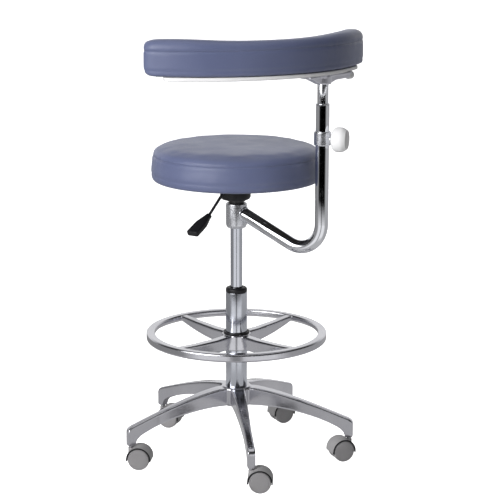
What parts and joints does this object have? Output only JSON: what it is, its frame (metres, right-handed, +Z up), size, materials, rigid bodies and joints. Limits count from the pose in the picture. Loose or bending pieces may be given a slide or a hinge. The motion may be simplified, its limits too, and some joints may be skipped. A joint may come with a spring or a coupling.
{
  "type": "dentist stool",
  "caption": "Dental assistant's stool with a star base on twin-wheel casters, gas lift, round padded seat, foot ring and a swing arm that carries a curved torso rest.",
  "frame": {"origin": "on the floor, under the middle of the stool's bounding box; the column's axis stands at x = -0.0195 m, y = 0.016 m", "axes": "+Z up; the front of the stool faces -Y, with the swing arm towards +X"},
  "size_m": [0.5508, 0.55, 1],
  "materials": {
    "cast_aluminium": "polished",
    "chrome": "mirror polished",
    "steel": "satin",
    "black_steel": "satin black",
    "black_plastic": "fine grain, matte",
    "grey_plastic": "fine grain, matte",
    "nylon": "matte",
    "white_plastic": "smooth, soft gloss",
    "pale_metal": "smooth satin",
    "rubber": "matte",
    "plywood": "stained black",
    "upholstery": "blue-grey coated upholstery, fine leather grain, satin"
  },
  "bodies": {
    "base": {"star_base": "cast_aluminium", "column_tube": "chrome", "column_bush": "black_plastic", "caster_stem_1": "steel", "caster_stem_2": "steel", "caster_stem_3": "steel", "caster_stem_4": "steel", "caster_stem_5": "steel"},
    "lift_rod": {"piston_rod": "steel", "rod_clip": "steel", "thrust_bearing": "steel", "rubber_buffer": "rubber", "rod_piston": "steel"},
    "seat": {"gas_cylinder": "chrome", "rod_guide": "black_plastic", "taper_socket": "black_steel", "mechanism_housing": "black_plastic", "mechanism_plate": "black_steel", "lever_pin": "steel", "seat_board": "plywood", "seat_cushion": "upholstery", "seat_screw_1": "steel", "seat_screw_2": "steel", "seat_screw_3": "steel", "seat_screw_4": "steel", "arm_snap_ring": "steel"},
    "lever": {"lever_rod": "black_steel", "lever_paddle": "black_plastic"},
    "valve": {"valve_button": "steel"},
    "arm": {"arm_collar": "chrome", "arm_bush": "nylon", "arm_tube": "chrome", "post_guide": "chrome", "clamp_collar": "chrome"},
    "clamp_knob": {"clamp_knob": "white_plastic"},
    "post": {"post_tube": "chrome"},
    "rest": {"rest_bracket": "pale_metal", "rest_tray": "white_plastic", "rest_core": "plywood", "rest_cushion": "upholstery", "rest_screw_1": "steel", "rest_screw_2": "steel"},
    "rest_knob": {"rest_knob": "white_plastic"},
    "ring_collet": {"foot_ring_collet": "black_plastic"},
    "ring": {"foot_ring": "cast_aluminium"},
    "caster_1": {"caster_hood_1": "grey_plastic"},
    "wheel_1a": {"caster_wheel_1a": "grey_plastic"},
    "wheel_1b": {"caster_wheel_1b": "grey_plastic"},
    "caster_2": {"caster_hood_2": "grey_plastic"},
    "wheel_2a": {"caster_wheel_2a": "grey_plastic"},
    "wheel_2b": {"caster_wheel_2b": "grey_plastic"},
    "caster_3": {"caster_hood_3": "grey_plastic"},
    "wheel_3a": {"caster_wheel_3a": "grey_plastic"},
    "wheel_3b": {"caster_wheel_3b": "grey_plastic"},
    "caster_4": {"caster_hood_4": "grey_plastic"},
    "wheel_4a": {"caster_wheel_4a": "grey_plastic"},
    "wheel_4b": {"caster_wheel_4b": "grey_plastic"},
    "caster_5": {"caster_hood_5": "grey_plastic"},
    "wheel_5a": {"caster_wheel_5a": "grey_plastic"},
    "wheel_5b": {"caster_wheel_5b": "grey_plastic"}
  },
  "joints": [
    {"name": "seat_swivel", "type": "hinge", "parent": "base", "child": "lift_rod", "pos_m": [-0.0195, 0.016, 0.121], "axis": [0, 0, 1], "continuous": true},
    {"name": "seat_lift", "type": "slide", "parent": "lift_rod", "child": "seat", "axis": [0, 0, 1], "range_m": [-0.13, 0.065]},
    {"name": "lever_lift", "type": "hinge", "parent": "seat", "child": "lever", "pos_m": [-0.03327, -0.00366, 0.65], "axis": [-0.8192, 0.5736, 0], "range_deg": [0, 6], "stiffness_Nm_per_rad": 5},
    {"name": "valve_press", "type": "slide", "parent": "seat", "child": "valve", "axis": [0, 0, -1], "range_m": [0, 0.003], "stiffness_N_per_m": 2000},
    {"name": "arm_swing", "type": "hinge", "parent": "seat", "child": "arm", "pos_m": [-0.0195, 0.016, 0.575], "axis": [0, 0, 1], "continuous": true},
    {"name": "clamp_turn", "type": "hinge", "parent": "arm", "child": "clamp_knob", "pos_m": [0.1705, -0.109, 0.77], "axis": [0.9511, -0.309, 0], "range_deg": [0, 360]},
    {"name": "post_slide", "type": "slide", "parent": "arm", "child": "post", "axis": [0, 0, 1], "range_m": [-0.04, 0.07]},
    {"name": "rest_swing", "type": "hinge", "parent": "post", "child": "rest", "pos_m": [0.1705, -0.109, 0.9], "axis": [0, 0, 1], "continuous": true},
    {"name": "rest_knob_turn", "type": "hinge", "parent": "rest", "child": "rest_knob", "pos_m": [0.1705, -0.109, 0.903], "axis": [0.6447, 0.7645, 0], "range_deg": [0, 360]},
    {"name": "ring_slide", "type": "slide", "parent": "base", "child": "ring_collet", "axis": [0, 0, 1], "range_m": [-0.085, 0.06]},
    {"name": "ring_lock", "type": "hinge", "parent": "ring_collet", "child": "ring", "pos_m": [-0.0195, 0.016, 0.275], "axis": [0, 0, 1], "range_deg": [0, 90]},
    {"name": "caster_swivel_1", "type": "hinge", "parent": "base", "child": "caster_1", "pos_m": [0.01328, -0.251, 0.04], "axis": [0, 0, 1], "continuous": true},
    {"name": "wheel_roll_1a", "type": "hinge", "parent": "caster_1", "child": "wheel_1a", "pos_m": [0.03325, -0.25204, 0.025], "axis": [0.0523, 0.9986, 0], "continuous": true},
    {"name": "wheel_roll_1b", "type": "hinge", "parent": "caster_1", "child": "wheel_1b", "pos_m": [0.03325, -0.25204, 0.025], "axis": [0.0523, 0.9986, 0], "continuous": true},
    {"name": "caster_swivel_2", "type": "hinge", "parent": "base", "child": "caster_2", "pos_m": [0.24456, -0.03533, 0.04], "axis": [0, 0, 1], "continuous": true},
    {"name": "wheel_roll_2a", "type": "hinge", "parent": "caster_2", "child": "wheel_2a", "pos_m": [0.22576, -0.04217, 0.025], "axis": [0.342, -0.9397, 0], "continuous": true},
    {"name": "wheel_roll_2b", "type": "hinge", "parent": "caster_2", "child": "wheel_2b", "pos_m": [0.22576, -0.04217, 0.025], "axis": [0.342, -0.9397, 0], "continuous": true},
    {"name": "caster_swivel_3", "type": "hinge", "parent": "base", "child": "caster_3", "pos_m": [0.11091, 0.25127, 0.04], "axis": [0, 0, 1], "continuous": true},
    {"name": "wheel_roll_3a", "type": "hinge", "parent": "caster_3", "child": "wheel_3a", "pos_m": [0.09279, 0.24282, 0.025], "axis": [0.4226, -0.9063, 0], "continuous": true},
    {"name": "wheel_roll_3b", "type": "hinge", "parent": "caster_3", "child": "wheel_3b", "pos_m": [0.09279, 0.24282, 0.025], "axis": [0.4226, -0.9063, 0], "continuous": true},
    {"name": "caster_swivel_4", "type": "hinge", "parent": "base", "child": "caster_4", "pos_m": [-0.20296, 0.21273, 0.04], "axis": [0, 0, 1], "continuous": true},
    {"name": "wheel_roll_4a", "type": "hinge", "parent": "caster_4", "child": "wheel_4a", "pos_m": [-0.18416, 0.20589, 0.025], "axis": [0.342, 0.9397, 0], "continuous": true},
    {"name": "wheel_roll_4b", "type": "hinge", "parent": "caster_4", "child": "wheel_4b", "pos_m": [-0.18416, 0.20589, 0.025], "axis": [0.342, 0.9397, 0], "continuous": true},
    {"name": "caster_swivel_5", "type": "hinge", "parent": "base", "child": "caster_5", "pos_m": [-0.2633, -0.09768, 0.04], "axis": [0, 0, 1], "continuous": true},
    {"name": "wheel_roll_5a", "type": "hinge", "parent": "caster_5", "child": "wheel_5a", "pos_m": [-0.24345, -0.10012, 0.025], "axis": [0.1219, 0.9925, 0], "continuous": true},
    {"name": "wheel_roll_5b", "type": "hinge", "parent": "caster_5", "child": "wheel_5b", "pos_m": [-0.24345, -0.10012, 0.025], "axis": [0.1219, 0.9925, 0], "continuous": true}
  ],
  "couplings": [
    {"joint": "valve_press", "follows": "lever_lift", "m_per_rad": 0.0265}
  ]
}
